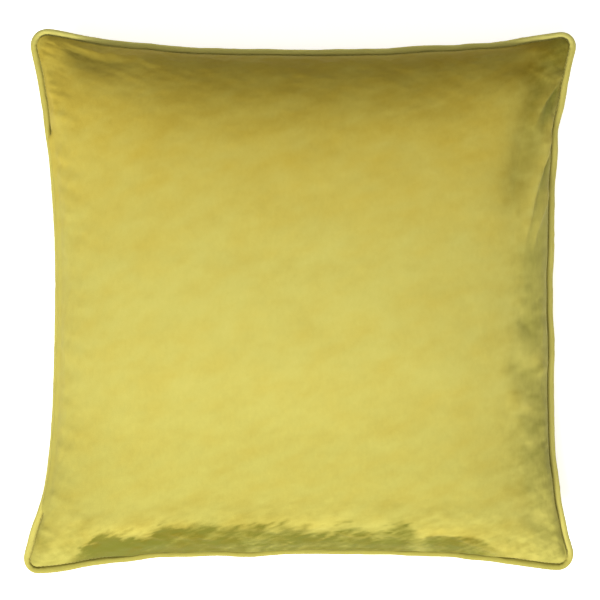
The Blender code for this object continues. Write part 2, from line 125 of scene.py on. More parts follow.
def spacing(cells, crowding=EDGE_CROWDING):
    """Fractions from 0 to 1, closer together at both ends."""
    even = np.linspace(0, 1, cells + 1)
    return even - crowding * np.sin(2 * math.pi * even) / (2 * math.pi)


def reach_along(points):
    """How far along a polyline each of its points is."""
    return np.r_[0, np.cumsum(np.linalg.norm(np.diff(points, axis=0), axis=1))]


def by_length(points, fractions):
    """Points at these fractions of a polyline's length."""
    points = np.array([tuple(p) for p in points])
    reached = reach_along(points)
    return np.stack(
        [np.interp(fractions * reached[-1], reached, points[:, k]) for k in range(points.shape[1])],
        axis=1,
    )


def closed_edge(cells, crowding=EDGE_CROWDING, reach=CORNER_REACH):
    """The closed outer edge, anticlockwise, from the bottom left corner's middle."""
    loop = []
    for side in range(4):
        margin = reach / side_length(side)
        middle = [side_point(side, margin + (1 - 2 * margin) * i / 240) for i in range(241)]
        whole = corner_arc(side, 1, reach)[:-1] + middle + corner_arc((side + 1) % 4, 0, reach)[1:]
        loop.append(by_length(whole, spacing(cells, crowding))[:-1])
    return np.vstack(loop)


def rounded_square(side, cells):
    """The flat cut, from seam to seam, with the same number of points as the edge."""
    half, reach = side / 2, CORNER_REACH
    loop = []
    for turn in range(4):
        c, s = math.cos(turn * math.pi / 2), math.sin(turn * math.pi / 2)
        bends = [math.pi / 4 * k / 8 for k in range(9)]
        start = [
            (reach - half - reach * math.sin(math.pi / 4 - a),
             reach - half - reach * math.cos(math.pi / 4 - a))
            for a in bends
        ]
        end = [(-x, y) for x, y in reversed(start)]
        line = [(x * c - y * s, x * s + y * c) for x, y in start + end]
        loop.append(by_length(line, spacing(cells))[:-1])
    return np.vstack(loop)


def inset(edge, distance):
    """A closed edge moved inward, square to itself. The distance may differ from point to point."""
    before = edge - np.roll(edge, 1, axis=0)
    after = np.roll(edge, -1, axis=0) - edge
    before /= np.linalg.norm(before, axis=1)[:, None]
    after /= np.linalg.norm(after, axis=1)[:, None]
    along = before + after
    along /= np.linalg.norm(along, axis=1)[:, None]
    inward = np.stack([-along[:, 1], along[:, 0]], axis=1)
    stretch = np.maximum(0.5, (along * after).sum(1))
    return edge + inward * (np.broadcast_to(distance, len(edge)) / stretch)[:, None]


def patch(ring, fractions):
    """A grid of points across a closed ring of four sides with equal counts."""
    n = len(fractions) - 1
    u, v = (axis[..., None] for axis in np.meshgrid(fractions, fractions))
    bottom, right = ring[: n + 1], ring[n : 2 * n + 1]
    top, left = ring[2 * n : 3 * n + 1][::-1], np.vstack([ring[3 * n :], ring[:1]])[::-1]
    across = bottom[None] * (1 - v) + top[None] * v + left[:, None] * (1 - u) + right[:, None] * u
    corners = (1 - u) * (1 - v) * ring[0] + u * (1 - v) * ring[n]
    return across - corners - u * v * ring[2 * n] - (1 - u) * v * ring[3 * n]


def border(grid):
    """A grid's outer points (or values), anticlockwise from its bottom left corner."""
    return np.concatenate([grid[0], grid[1:, -1], grid[-1, -2::-1], grid[-2:0:-1, 0]])


def rise(fractions):
    """0 along the seam to 1 in the middle of the pillow."""
    flatness, steepness = DOME_POWERS
    one = np.clip(1 - np.abs(2 * fractions - 1) ** flatness, 0, 1) ** steepness
    return one[:, None] * one[None, :]


def smoothstep(low, high, x):
    t = np.clip((x - low) / (high - low), 0, 1)
    return t * t * (3 - 2 * t)


def zip_share(y, ease=ZIP_END_EASE):
    """1 beside the zip's opening and 0 beyond its ends."""
    return smoothstep(ZIP_BOTTOM, ZIP_BOTTOM + ease, y) * smoothstep(-ZIP_TOP, ease - ZIP_TOP, -y)


def lump(points, size, seed, octaves=2):
    """Smooth seeded noise from about -1 to 1 at many points; size is that of one lump."""
    scale = 1 / np.broadcast_to(size, 3)
    shift = Vector((17.3 * seed, -9.1 * seed, 5.7 * seed))
    flat = np.asarray(points, float).reshape(-1, 3) * scale
    values = [noise.fractal(Vector(p) + shift, 0.6, 2.1, octaves) for p in flat]
    return np.array(values).reshape(np.shape(points)[:-1])


# ---------------------------------------------------------------- meshes

# Where the edge bulges out or is nipped in: middle, size, and how far it is pushed.
EDGE_BULGES = [
    ((-0.220, -0.190), 0.020, (-0.0032, 0.0)),
    ((-0.198, -0.222), 0.024, (0.0, -0.0024)),
    ((-0.041, -0.209), 0.020, (0.0, -0.0018)),
    ((-0.118, -0.210), 0.018, (0.0, 0.0012)),
    ((0.122, -0.211), 0.018, (0.0, 0.0012)),
    ((0.205, -0.220), 0.020, (0.0, -0.0018)),
    ((0.212, 0.137), 0.016, (-0.0016, 0.0)),
    ((0.208, -0.040), 0.022, (0.0014, 0.0)),
    ((-0.197, 0.221), 0.020, (0.0, 0.0016)),
    ((0.164, 0.214), 0.018, (0.0, -0.0015)),
]


def sway(points):
    """The sewn edge's gentle wander, up and down and in and out, clear of the zip."""
    points = np.array(points, float).reshape(-1, 3)
    x, y = points[:, 0], points[:, 1]
    share = smoothstep(0.165, 0.212, np.maximum(np.abs(x), np.abs(y)))
    share *= 1 - smoothstep(-0.150, -0.172, x) * zip_share(y, 0.035)
    plan = np.column_stack([x, y, np.zeros(len(x))])
    points[:, 2] += share * 0.0030 * lump(plan, 0.085, 111)
    for axis in range(2):
        points[:, axis] += share * 0.0010 * lump(plan, 0.045, 113 + axis)
    for middle, radius, push in EDGE_BULGES:
        near = np.exp(-(((plan[:, :2] - middle) ** 2).sum(1) / radius**2)) * share
        points[:, :2] += near[:, None] * np.array(push)
    points[:, 2] = np.maximum(points[:, 2], 0)
    return points


def new_mesh(name, points, faces, look=None):
    mesh = bpy.data.meshes.new(name)
    mesh.from_pydata(np.asarray(points).reshape(-1, 3).tolist(), [], faces)
    mesh.shade_smooth()
    if look:
        mesh.materials.append(look)
    obj = bpy.data.objects.new(name, mesh)
    bpy.context.scene.collection.objects.link(obj)
    return obj


def add_layer(obj, title, values):
    layer = obj.data.attributes.new(title, "FLOAT", "POINT")
    layer.data.foreach_set("value", np.asarray(values, np.float32).ravel())


def dress(obj, body, slot, *nodes):
    """Puts a piece on its body, in place of these CAD nodes."""
    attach(obj, body)
    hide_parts(*nodes)
    return obj


def thicken(obj, thickness, offset):
    shell = obj.modifiers.new("thickness", "SOLIDIFY")
    shell.thickness = thickness
    shell.offset = offset


def grid_faces(rows, columns, flip=False, close_rows=False, close_columns=False):
    """Quads over points numbered row by row, joined at the ends where asked."""
    number = np.arange(rows * columns).reshape(rows, columns)
    if close_columns:
        number = np.hstack([number, number[:, :1]])
    if close_rows:
        number = np.vstack([number, number[:1]])
    quads = [number[:-1, :-1], number[:-1, 1:], number[1:, 1:], number[1:, :-1]]
    return np.stack(quads[::-1] if flip else quads, axis=-1).reshape(-1, 4).tolist()


def tube_rings(path, radii, sides, closed=False):
    """Rings of points round a path, with a steady twist-free frame. Radii may vary."""
    path = np.asarray(path, float)
    if closed:
        along = np.roll(path, -1, axis=0) - np.roll(path, 1, axis=0)
    else:
        along = np.gradient(path, axis=0)
    along /= np.linalg.norm(along, axis=1)[:, None]
    across = np.empty_like(path)
    previous = np.cross(along[0], (0, 0, 1.0))
    if np.linalg.norm(previous) < 1e-6:
        previous = np.array((1.0, 0, 0))
    for i, direction in enumerate(along):
        previous = previous - direction * previous.dot(direction)
        previous /= np.linalg.norm(previous)
        across[i] = previous
    other = np.cross(across, along)
    angles = np.arange(sides) * 2 * math.pi / sides
    radii = np.reshape(radii, (len(path), -1)) * np.ones(sides)
    return (
        path[:, None]
        + (radii * np.cos(angles))[..., None] * across[:, None]
        + (radii * np.sin(angles))[..., None] * other[:, None]
    )


def rods(name, lines, radius, sides, look):
    """Many short round-ended threads in one mesh; every line has the same number of points."""
    points, faces = [], []
    for line in lines:
        line = np.asarray(line, float)
        steps = np.linspace(-1, 1, len(line))
        radii = radius * np.sqrt(np.clip(1 - np.abs(steps) ** 6, 0.05, 1))
        first = len(points) * len(line) * sides
        rings = tube_rings(line, radii, sides)
        points.append(rings.reshape(-1, 3))
        walls = np.array(grid_faces(len(line), sides, close_columns=True)) + first
        last = first + (len(line) - 1) * sides
        ends = [range(first + sides - 1, first - 1, -1), range(last, last + sides)]
        faces += walls.tolist() + [list(end) for end in ends]
    return new_mesh(name, np.vstack(points), faces, look)


def along_ring(ring, start, end, pitch):
    """Places along a closed ring of xy points, from one share of its length to another."""
    closed = np.vstack([ring, ring[:1]])
    count = max(2, round((end - start) * reach_along(closed)[-1] / pitch))
    return by_length(closed, start + (end - start) * (np.arange(count) + 0.5) / count)


# ---------------------------------------------------------------- materials

def node(tree, kind, values=(), **settings):
    made = tree.nodes.new("ShaderNode" + kind)
    for name, value in settings.items():
        setattr(made, name, value)
    for name, value in dict(values).items():
        if isinstance(value, bpy.types.NodeSocket):
            tree.links.new(value, made.inputs[name])
        else:
            made.inputs[name].default_value = value
    return made


def new_material(name, roughness, metallic=0.0, specular=0.5, **constants):
    made = bpy.data.materials.new(name)
    made.use_nodes = True
    shader = made.node_tree.nodes["Principled BSDF"]
    shader.inputs["Roughness"].default_value = roughness
    shader.inputs["Metallic"].default_value = metallic
    shader.inputs["Specular IOR Level"].default_value = specular
    for key, value in constants.items():
        shader.inputs[key.replace("_", " ").title()].default_value = value
    return made, made.node_tree, shader


def noise_of(tree, place, scale, detail=2.0, distortion=0.0, roughness=0.5):
    made = node(
        tree, "TexNoise",
        {"Vector": place, "Scale": scale, "Detail": detail, "Distortion": distortion,
         "Roughness": roughness},
    )
    return made.outputs["Fac"]


def maths(tree, operation, a, b=0.0):
    return node(tree, "Math", {0: a, 1: b}, operation=operation).outputs[0]


def weighed(tree, start, *layers):
    """A start value plus layers, each times its share."""
    total = start
    for layer, share in layers:
        total = maths(tree, "ADD", total, maths(tree, "MULTIPLY", layer, share))
    return total


def remap(tree, value, low, high, new_low=0.0, new_high=1.0):
    made = node(
        tree, "MapRange",
        {"Value": value, "From Min": low, "From Max": high, "To Min": new_low, "To Max": new_high},
    )
    return made.outputs["Result"]


def ramp(tree, value, *stops):
    """Colours at places from 0 to 1."""
    made = node(tree, "ValToRGB", {"Fac": value})
    bar = made.color_ramp.elements
    while len(bar) < len(stops):
        bar.new(0.5)
    for element, (place, colour) in zip(bar, stops):
        element.position = place
        element.color = (*colour, 1)
    return made.outputs["Color"]


def place_of(tree, stretch=(1, 1, 1), turn=0.0):
    """The place on the object, stretched and turned for a pattern with a direction."""
    spot = node(tree, "TexCoord").outputs["Object"]
    mapped = node(
        tree, "Mapping", {"Vector": spot, "Scale": stretch, "Rotation": (0, 0, turn)}
    )
    return mapped.outputs["Vector"]


def bumps(tree, shader, *layers):
    """Stacks bumps: (height socket, distance in metres, strength)."""
    below = None
    for height, distance, strength in layers:
        values = {"Height": height, "Distance": distance, "Strength": strength}
        if below:
            values["Normal"] = below
        below = node(tree, "Bump", values).outputs["Normal"]
    tree.links.new(below, shader.inputs["Normal"])


# The pile's colour from dark to light, in a warm and a greener ramp: their ends give painted shade
# and painted highlight, and the second a painted tint.
WARM_PILE = [(0.155, 0.104, 0.004), (0.450, 0.343, 0.050), (0.620, 0.540, 0.140)]
COOL_PILE = [(0.135, 0.134, 0.018), (0.438, 0.388, 0.088), (0.620, 0.582, 0.178)]


def velvet_material(name, lift=0.0):
    """Short silky pile, lighter or darker at random where crushed, with painted shade, highlight
    and tint.
    """
    made, tree, shader = new_material(
        name, 0.5, specular=0.10, Sheen_Weight=0.04, Sheen_Roughness=0.40,
        Sheen_Tint=(1.0, 0.95, 0.35, 1), Specular_Tint=(1.0, 0.92, 0.40, 1),
    )
    shader.inputs["IOR"].default_value = 1.22
    spot = place_of(tree)
    # The point attribute read here holds random tone with painted shade and painted highlight.
    pile_mottle_and_painted_light = node(tree, "Attribute", attribute_name="mottle_and_painted_light").outputs["Fac"]
    crush = noise_of(tree, spot, 11, detail=3, distortion=0.8)
    mottle = noise_of(tree, spot, 48, detail=4, distortion=0.4, roughness=0.6)
    grain = noise_of(tree, place_of(tree, (1, 0.55, 1), 0.2), 330, detail=3, roughness=0.65)
    fuzz = noise_of(tree, place_of(tree, (1, 0.5, 1), 0.25), 4600, detail=2, roughness=0.6)
    layers = (crush, 0.045), (mottle, 0.06), (grain, 0.09), (fuzz, 0.34)
    middle = 0.5 + lift - 0.5 * sum(share for _, share in layers)
    tone = weighed(tree, maths(tree, "ADD", pile_mottle_and_painted_light, middle), *layers)
    warm, mottle_and_painted_tint = (ramp(tree, tone, *zip((0.0, 0.5, 1.0), pile)) for pile in (WARM_PILE, COOL_PILE))
    # And this one a painted tint, mixed towards the greener ramp.
    mottle_and_painted_tint_share = node(tree, "Attribute", attribute_name="mottle_and_painted_tint").outputs["Fac"]
    mixed = node(tree, "MixRGB", {"Fac": mottle_and_painted_tint_share, "Color1": warm, "Color2": mottle_and_painted_tint})
    tree.links.new(mixed.outputs["Color"], shader.inputs["Base Color"])
    tree.links.new(remap(tree, mottle, 0.3, 0.7, 0.50, 0.64), shader.inputs["Roughness"])
    bumps(tree, shader, (crush, 0.004, 0.22), (mottle, 0.0012, 0.25), (fuzz, 0.00018, 0.5))
    return made


def woven_material(name, dark, light, threads, roughness=0.85, **constants):
    """Plain weave: two crossed sets of threads, with slubs and a little soil."""
    made, tree, shader = new_material(name, roughness, specular=0.25, **constants)
    spot = place_of(tree)
    sets = []
    for direction in ("X", "Y", "Z"):
        wave = node(
            tree, "TexWave",
            {"Vector": spot, "Scale": threads, "Distortion": 0.6, "Detail": 1.0,
             "Detail Scale": 2.0},
            bands_direction=direction,
        )
        sets.append(wave.outputs["Fac"])
    crossed = maths(tree, "MAXIMUM", sets[0], sets[1])
    weave = maths(tree, "MULTIPLY", crossed, maths(tree, "ADD", sets[2], 0.4))
    slub = noise_of(tree, place_of(tree, (1, 6, 6)), 160, detail=2)
    stain = noise_of(tree, spot, 26, detail=3)
    tone = weighed(tree, 0.0, (weave, 0.45), (slub, 0.3), (stain, 0.35))
    tree.links.new(ramp(tree, tone, (0.15, dark), (0.85, light)), shader.inputs["Base Color"])
    bumps(tree, shader, (weave, 0.0002, 0.5), (slub, 0.0002, 0.3))
    return made


def thread_material(name, dark, light, plies=900):
    """Twisted sewing thread."""
    made, tree, shader = new_material(
        name, 0.5, specular=0.4, Sheen_Weight=0.15, Sheen_Roughness=0.4,
    )
    spot = place_of(tree, turn=0.6)
    twist = node(
        tree, "TexWave", {"Vector": spot, "Scale": plies, "Distortion": 1.0},
        bands_direction="DIAGONAL",
    ).outputs["Fac"]
    fuzz = noise_of(tree, spot, 700, detail=3)
    tone = weighed(tree, 0.0, (twist, 0.6), (fuzz, 0.5))
    tree.links.new(ramp(tree, tone, (0.1, dark), (0.9, light)), shader.inputs["Base Color"])
    bumps(tree, shader, (twist, 0.0001, 0.5))
    return made


def fibre_material(name, dark, light, scale):
    """Loose fibres or a soft matted web."""
    made, tree, shader = new_material(name, 0.95, specular=0.15, Sheen_Weight=0.2)
    spot = place_of(tree, (1, 1, 1.6))
    web = noise_of(tree, spot, scale, detail=5, distortion=2.5, roughness=0.7)
    clump = noise_of(tree, spot, scale / 9, detail=2)
    tone = weighed(tree, 0.0, (web, 0.7), (clump, 0.4))
    tree.links.new(ramp(tree, tone, (0.3, dark), (0.75, light)), shader.inputs["Base Color"])
    bumps(tree, shader, (clump, 0.003, 0.4), (web, 0.0006, 0.6))
    return made


def painted_metal_material(name):
    """Die-cast zinc, lacquered to match the velvet and rubbed bright along its edges."""
    made, tree, shader = new_material(name, 0.26, metallic=0.95, specular=0.5, Coat_Weight=0.5)
    spot = place_of(tree)
    edge = node(tree, "NewGeometry").outputs["Pointiness"]
    scratches = noise_of(tree, place_of(tree, (1, 14, 14), 0.35), 900, detail=3)
    cast = noise_of(tree, spot, 1500, detail=3)
    worn = weighed(tree, remap(tree, edge, 0.52, 0.62, -0.15, 0.55), (scratches, 0.5))
    shades = (0.0, (0.24, 0.19, 0.02)), (0.4, (0.44, 0.36, 0.06)), (0.9, (0.86, 0.79, 0.45))
    tree.links.new(ramp(tree, worn, *shades), shader.inputs["Base Color"])
    tree.links.new(remap(tree, scratches, 0.3, 0.7, 0.24, 0.44), shader.inputs["Roughness"])
    bumps(tree, shader, (cast, 0.00006, 0.4), (scratches, 0.00004, 0.5))
    return made


def nylon_material(name):
    """Moulded and drawn nylon: glossy, slightly cloudy."""
    made, tree, shader = new_material(name, 0.28, specular=0.5, Coat_Weight=0.15)
    spot = place_of(tree)
    cloud = noise_of(tree, spot, 260, detail=3)
    fine = noise_of(tree, spot, 2600, detail=2)
    shades = (0.3, (0.42, 0.36, 0.08)), (0.7, (0.62, 0.55, 0.17))
    tree.links.new(ramp(tree, cloud, *shades), shader.inputs["Base Color"])
    tree.links.new(remap(tree, cloud, 0.3, 0.7, 0.22, 0.36), shader.inputs["Roughness"])
    bumps(tree, shader, (fine, 0.00004, 0.4))
    return made


VELVET_LOOK = velvet_material("velvet_nap")
PIPING_LOOK = velvet_material("velvet_piping", lift=0.04)
THREAD_LOOK = thread_material("sewing_thread", (0.36, 0.30, 0.05), (0.66, 0.58, 0.14))
WHITE_THREAD_LOOK = thread_material("pad_thread", (0.62, 0.61, 0.57), (0.86, 0.85, 0.81))
TAPE_LOOK = woven_material("zip_tape_weave", (0.26, 0.21, 0.03), (0.50, 0.43, 0.09), 900)
CASING_LOOK = woven_material("pad_casing_cambric", (0.62, 0.61, 0.57), (0.88, 0.88, 0.86), 700)
LABEL_LOOK = woven_material(
    "label_satin_weave", (0.66, 0.65, 0.62), (0.90, 0.90, 0.88), 1400,
    roughness=0.42, Sheen_Weight=0.2,
)
CORD_LOOK = thread_material("cotton_cord_twist", (0.56, 0.50, 0.38), (0.86, 0.82, 0.72), 500)
FIBRE_LOOK = fibre_material("polyester_fibre", (0.74, 0.74, 0.72), (0.95, 0.95, 0.94), 420)
METAL_LOOK = painted_metal_material("lacquered_zinc")
NYLON_LOOK = nylon_material("nylon_coil")

# ---------------------------------------------------------------- camera, light and floor

VIEW_WIDTH = 0.4927  # what the picture spans at the seam
VIEW_DISTANCE = 2.5
VIEW_CENTRE = (0.0, 0.00082)


def make_camera():
    camera = bpy.data.cameras.new("camera")
    camera.sensor_width = 36
    camera.lens = camera.sensor_width * VIEW_DISTANCE / VIEW_WIDTH
    obj = bpy.data.objects.new("camera", camera)
    obj.location = (*VIEW_CENTRE, SEAM_Z + VIEW_DISTANCE)
    bpy.context.scene.collection.objects.link(obj)
    bpy.context.scene.camera = obj


AIM = Vector((0, 0, 0.05))


def make_light(name, place, size, power):
    light = bpy.data.lights.new(name, "AREA")
    light.shape = "RECTANGLE"
    light.size, light.size_y = size
    light.energy = power
    obj = bpy.data.objects.new(name, light)
    obj.location = place
    obj.rotation_mode = "QUATERNION"
    obj.rotation_quaternion = (AIM - Vector(place)).to_track_quat("-Z", "Y")
    bpy.context.scene.collection.objects.link(obj)


SKY_LIGHT = 0.30  # what the white sky gives to the pillow
SKY_SEEN = 1.0  # and how bright it looks behind it
FLOOR_GLOW = 0.60


def make_stage():
    world = bpy.data.worlds.new("studio")
    world.use_nodes = True
    tree = world.node_tree
    ray = node(tree, "LightPath").outputs["Is Camera Ray"]
    either = node(tree, "MixShader", {"Fac": ray})
    for slot, strength in ((1, SKY_LIGHT), (2, SKY_SEEN)):
        sky = node(tree, "Background", {"Color": (1, 1, 1, 1), "Strength": strength})
        tree.links.new(sky.outputs[0], either.inputs[slot])
    tree.links.new(either.outputs[0], tree.nodes["World Output"].inputs[0])
    bpy.context.scene.world = world
    bpy.ops.mesh.primitive_plane_add(size=6, location=(0, 0, -0.0005))
    floor = bpy.context.active_object
    floor.name = "floor"
    white = new_material(
        "floor_white", 0.9, specular=0.2, Base_Color=(0.94, 0.94, 0.94, 1),
        Emission_Color=(1, 1, 1, 1), Emission_Strength=FLOOR_GLOW,
    )[0]
    floor.data.materials.append(white)
    make_light("key", (-0.42, -1.45, 1.75), (1.2, 0.8), 70)
    make_light("front", (-0.2, 0.1, 2.6), (1.4, 1.4), 15)
    bpy.context.scene.view_settings.view_transform = "Standard"


# ---------------------------------------------------------------- cover: cloth simulation

FABRIC = dict(
    quality=6, mass=0.25, air_damping=2.0, tension_stiffness=25, compression_stiffness=25,
    shear_stiffness=6, bending_stiffness=5, tension_damping=5, compression_damping=5,
    shear_damping=5, bending_damping=0.5, use_pressure=True,
)
PRESSURE = 6.0
FRAMES = {1: 40, -1: 30}  # of simulation, for the front and the back


def inflate(start, flat, frames):
    """Blows up a square of velvet that is sewn down round its edge, and returns its points."""
    n = start.shape[0]
    upward = start[n // 2, n // 2, 2] > start[0, 0, 2]
    obj = new_mesh("velvet_square", start, grid_faces(n, n, flip=not upward))
    obj.shape_key_add(name="Basis")
    cut = obj.shape_key_add(name="cut")
    cut.data.foreach_set("co", flat.astype(np.float32).ravel())
    number = np.arange(n * n).reshape(n, n)
    rim = np.unique(border(number))
    sewn = obj.vertex_groups.new(name="sewn")
    sewn.add(rim.tolist(), 1.0, "REPLACE")
    cloth = obj.modifiers.new("cloth", "CLOTH")
    fabric = cloth.settings
    for setting, value in FABRIC.items():
        setattr(fabric, setting, value)
    fabric.uniform_pressure_force = PRESSURE
    fabric.vertex_group_mass = "sewn"
    fabric.rest_shape_key = cut
    fabric.effector_weights.gravity = 0
    cloth.collision_settings.use_collision = False
    cloth.point_cache.frame_start = 1
    cloth.point_cache.frame_end = frames
    for step in range(1, frames + 1):
        bpy.context.scene.frame_set(step)
    shape = obj.evaluated_get(bpy.context.evaluated_depsgraph_get()).data
    points = np.empty(n * n * 3, np.float32)
    shape.vertices.foreach_get("co", points)
    bpy.data.objects.remove(obj, do_unlink=True)
    bpy.context.scene.frame_set(1)
    return points.reshape(n, n, 3).astype(float)


def panel_shape(side):
    """The grid of one panel's outer face: side is 1 for the front and -1 for the back."""
    fractions = spacing(CLOTH_CELLS)
    ring = inset(closed_edge(CLOTH_CELLS), PANEL_INSET)
    crown = FRONT_CROWN if side > 0 else BACK_CROWN
    lift = FOOT + (crown - FOOT) * rise(fractions)
    lift += RNG.normal(0, 0.00012, lift.shape) * (rise(fractions) > 0)
    grid = np.dstack([patch(ring, fractions), SEAM_Z + side * lift])
    cut = patch(rounded_square(CUT_SIDE, CLOTH_CELLS), fractions)
    flat = np.dstack([cut, np.full(lift.shape, SEAM_Z)])
    grid = inflate(grid, flat, FRAMES[side])
    height = side * (grid[..., 2] - SEAM_Z) - FOOT
    grid[..., 2] = SEAM_Z + side * (FOOT + height * (crown - FOOT) / height.max())
    return finer(soften_corners(grid, side))


def soften_corners(grid, side):
    """Flattens the ears, and eases the tight pleats that the cloth makes in them."""
    nearest = np.linalg.norm(grid[..., None, :2] - TIPS, axis=3).min(2)
    share = 0.5 * smoothstep(0.075, 0.030, nearest)[1:-1, 1:-1, None]
    for _ in range(30):
        around = (grid[:-2, 1:-1] + grid[2:, 1:-1] + grid[1:-1, :-2] + grid[1:-1, 2:]) / 4
        grid[1:-1, 1:-1] += share * (around - grid[1:-1, 1:-1])
    height = side * (grid[..., 2] - SEAM_Z) - FOOT
    grid[..., 2] -= side * height * 0.36 * smoothstep(0.085, 0.012, nearest)
    return grid


def finer(grid):
    """Twice as many cells each way, through the same points, on smooth curves."""
    for _ in range(2):
        before = np.concatenate([2 * grid[:1] - grid[1:2], grid[:-1]])
        after = np.concatenate([grid[1:], 2 * grid[-1:] - grid[-2:-1]])
        middle = (9 * (grid[:-1] + grid[1:]) - before[:-1] - after[1:]) / 16
        out = np.empty((2 * len(grid) - 1, *grid.shape[1:]))
        out[::2], out[1::2] = grid, middle
        grid = out.transpose(1, 0, 2)
    return grid


def normals(grid, side):
    across = np.gradient(grid, axis=1)
    up = np.gradient(grid, axis=0)
    n = np.cross(across, up) * side
    return n / np.maximum(1e-12, np.linalg.norm(n, axis=2, keepdims=True))


def seam_distances(grid):
    """How far each point is, in plan, from the bottom, right, top and left seams."""
    x, y = grid[..., 0], grid[..., 1]
    bottom, top = grid[0], grid[-1]
    left, right = grid[:, 0], grid[:, -1]
    return [
        y - np.interp(x, bottom[:, 0], bottom[:, 1]),
        np.interp(y, right[:, 1], right[:, 0]) - x,
        np.interp(x, top[:, 0], top[:, 1]) - y,
        x - np.interp(y, left[:, 1], left[:, 0]),
    ]


# ---------------------------------------------------------------- cover: folds and creases
# A fold is a ridge (or, with a negative height, a furrow) along a smooth line in plan, given as
# points, height, and how wide it is on the left and on the right of its direction. The
# numbers in FRONT_FOLDS are millimetres.

FRONT_FOLDS = [
    # right side: long sharp ridges that run out of the piping and away down the pillow
    ([(220, 190), (214, 179), (205, 169), (198, 156), (192, 140)], 3, 2.2, 8),
    ([(217, 184), (211, 170), (205, 156), (201, 138)], -3.4, 4, 4.6),
    ([(213, 154), (206, 130), (203, 117.6), (198.2, 107.6), (194.8, 97.7), (192, 86),
      (186.2, 60), (183, 44)], 4.4, 1.6, 6),
    ([(212, 142), (207, 120), (202, 106), (198, 93)], -3, 3, 3),
    ([(211, 98), (204, 84), (197.5, 70), (193, 54), (190.5, 40)], 3, 1.6, 4.6),
    ([(203, 186), (193, 165), (186, 143), (181, 119), (174, 90), (169, 70)], -3.4, 12, 13),
    # right side, lower half: soft dents between the belly and the piping
    ([(178, -10), (190, -26), (199, -33)], -1.6, 8, 6),
    ([(170, -48), (185, -62), (197, -68)], -1.4, 6, 7),
    ([(190, -42), (197, -52), (199, -62)], 1.4, 7, 6),
    ([(168, -78), (182, -86), (196, -90)], 1.2, 7, 5),
    # bottom: the crease where the wall turns under, and the streaks on the wall
    ([(-180, -200), (-156, -193), (-130, -188), (-108, -185), (-80, -183)], 2.2, 10, 3),
    ([(-70, -184), (-30, -186), (10, -185), (50, -184)], 1.6, 10, 3.6),
    ([(96, -196), (108, -191), (122, -190), (130, -193), (140, -199), (164, -208),
      (176, -212)], 2, 8, 2.4),
    ([(-108, -190.5), (-96, -192), (-80, -196.5)], 1.8, 1.2, 2.2),
    ([(-92, -190), (-79, -193.5), (-60, -196)], 1.7, 1.2, 2),
    ([(-80, -188), (-70, -190.5), (-56, -192.5)], 1.4, 1.1, 1.8),
    ([(-133, -190), (-122, -192.5), (-108, -196)], 1.2, 1.2, 2),
    ([(-48, -190), (-33, -193), (-13, -194.5)], 1.2, 1.2, 2),
    ([(30, -189), (44, -192), (60, -194)], 1.4, 1.2, 2),
    ([(68, -190), (80, -192.5), (92, -195)], 1.1, 1.2, 1.8),
    # top left: the pocket behind the ear
    ([(-196, 209), (-176, 202), (-156, 196), (-136, 193)], -2.2, 5, 9),
    ([(-182, 208), (-150, 203), (-124, 201)], 1.1, 2.4, 4),
    # left: creases beside the piping
    ([(-212, 200), (-208, 180), (-201, 156), (-196, 138)], 1.2, 3, 2.2),
    # corners: long creases that point into the ears
    ([(-208, -203), (-195, -190), (-176, -174)], 1, 6, 5),
    ([(208, -200), (196, -187), (180, -174)], -1.2, 6, 8),
    ([(208, 203), (196, 192), (180, 180)], -1, 6, 6),
]


FOLD_PARALLAX = 1.012  # the folds are laid out as seen from above, a little larger than they are
FOLD_SHARPNESS = 1.4  # 2 is a round ridge, and 1 has a knife edge


def fold_line(points):
    """A smooth line through a fold's points, and how strong the fold is along it."""
    steps = np.linspace(0, 1, 64)
    line = by_length(points, steps)
    for _ in range(12):
        line[1:-1] = (line[:-2] + 2 * line[1:-1] + line[2:]) / 4
    return line, np.sin(math.pi * steps**0.7) ** 0.8


def fold_height(plan, fold):
    """How far one fold lifts each point."""
    line, strength = fold_line(np.array(fold[0]) / 1000)
    height, left, right = np.array(fold[1:]) / 1000
    low = line.min(0) - 3 * max(left, right)
    high = line.max(0) + 3 * max(left, right)
    near = ((plan > low) & (plan < high)).all(-1)
    away = plan[near][:, None] - line[None]
    reach = np.linalg.norm(away, axis=2)
    nearest = reach.argmin(1)
    pick = np.arange(len(nearest))
    along = np.gradient(line, axis=0)[nearest]
    offset = away[pick, nearest]
    turned = along[:, 0] * offset[:, 1] - along[:, 1] * offset[:, 0]
    width = np.where(turned > 0, left, right)
    out = np.zeros(plan.shape[:-1])
    fall = np.exp(-((reach[pick, nearest] / width) ** FOLD_SHARPNESS))
    out[near] = height * strength[nearest] * fall
    return out


def seam_puckers(grid, side):
    """Small gathers that start at the stitches and die out up the wall."""
    reaches = seam_distances(grid)
    lift = np.zeros(grid.shape[:2])
    for index, away in enumerate(reaches):
        run = grid[..., index % 2]
        across = np.dstack([run + 0.35 * away, away * 0.3, np.full_like(run, index * 3.1 + side)])
        fade = np.exp(-((away / 0.016) ** 2)) * smoothstep(0.0, 0.004, away)
        lift += lump(across, (0.0085, 0.030, 1.0), 3 + index) * fade * 0.0011
    return lift


def fine_creases(grid, side):
    """Fine slanting creases in the velvet near the edge, and faint dents over the belly."""
    edge = np.minimum.reduce(seam_distances(grid))
    slant = np.dstack([
        grid[..., 0] * 0.90 - grid[..., 1] * 0.44,
        grid[..., 0] * 0.44 + grid[..., 1] * 0.90,
        grid[..., 2] * 0.5,
    ])
    wall = np.exp(-((edge / 0.030) ** 2)) * smoothstep(0.001, 0.006, edge)
    streaks = lump(slant, (0.022, 0.0052, 0.02), 21 + side, 3)
    dents = lump(grid, (0.055, 0.045, 0.05), 31 + side)
    ripples = lump(grid, (0.016, 0.020, 0.02), 41 + side)
    upper_right = smoothstep(0.010, 0.060, grid[..., 1]) * smoothstep(0.120, 0.160, grid[..., 0])
    calm = 1 - 0.75 * upper_right
    belly = dents * 0.00045 * smoothstep(0, 0.03, edge)
    return belly + wall * calm * (streaks * 0.0007 + ripples * 0.0006)


